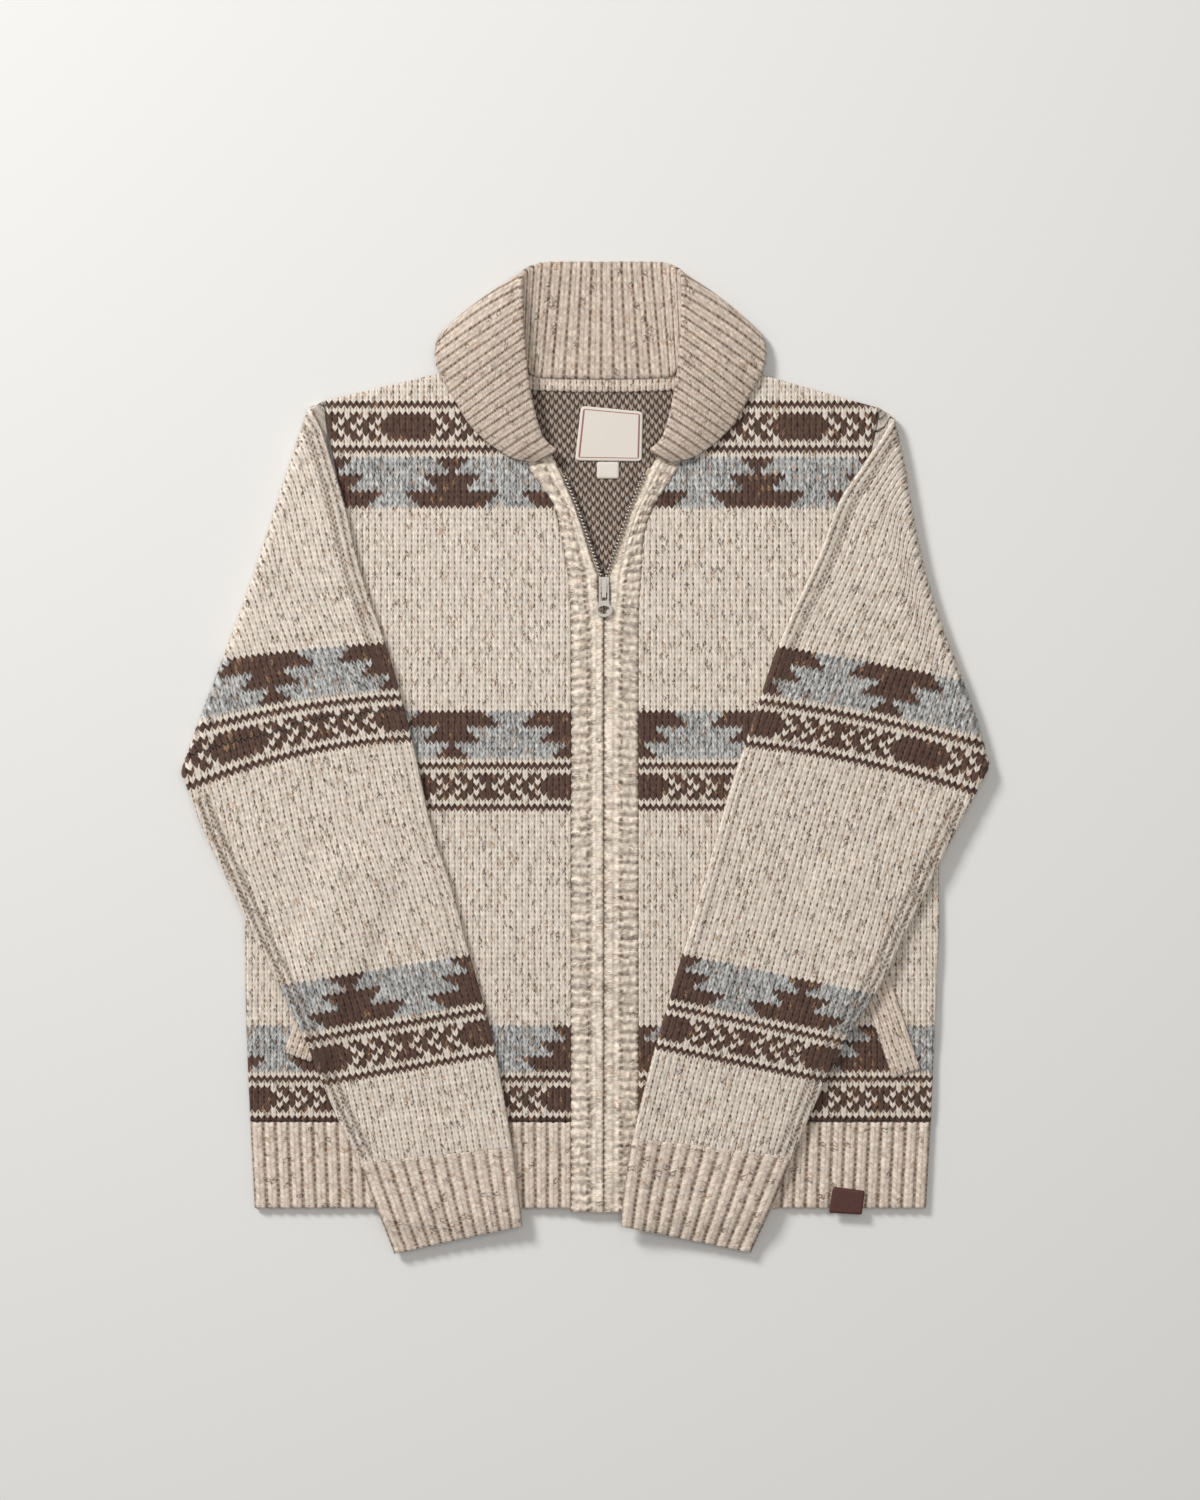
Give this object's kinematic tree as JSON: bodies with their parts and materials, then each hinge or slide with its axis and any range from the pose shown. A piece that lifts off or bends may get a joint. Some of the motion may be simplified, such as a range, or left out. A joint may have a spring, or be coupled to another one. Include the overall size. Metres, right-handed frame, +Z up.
{
  "type": "zip-up sweater",
  "caption": "Knitted zip-up sweater with a ribbed shawl collar, laid flat front side up with its sleeves folded over.",
  "frame": {"origin": "under the middle of the whole sweater's box, on the surface that it lies on", "axes": "+X towards the wearer's left side, +Y from the hem towards the neck, +Z up from the surface"},
  "size_m": [0.6468, 0.7934, 0.0192],
  "materials": {
    "knit": "chunky wool knit, matt",
    "rib": "ribbed wool knit, matt",
    "tape": "woven tape, matt",
    "metal": "satin silver-grey",
    "leather": "smooth, semi-matt",
    "label": "woven label, fine weave"
  },
  "bodies": {
    "garment": {"back_panel": "knit", "hem_back": "rib", "front_l": "knit", "front_r": "knit", "hem_front_l": "rib", "hem_front_r": "rib", "placket_l": "rib", "placket_r": "rib", "zip_tape_l": "tape", "zip_tape_r": "tape", "pocket_welt_l": "rib", "pocket_welt_r": "rib", "sleeve_l": "knit", "sleeve_r": "knit", "cuff_l": "rib", "cuff_r": "rib", "zip_slider": "metal", "collar": "rib", "neck_tape": "knit", "neck_label": "label", "size_tab": "label", "hem_patch": "leather"},
    "pull_tab": {"zip_pull": "metal"}
  },
  "joints": [
    {"name": "pull_hinge", "type": "hinge", "parent": "garment", "child": "pull_tab", "pos_m": [0.01478, 0.13792, 0.0098], "axis": [-1, 0, 0], "range_deg": [0, 150]}
  ]
}
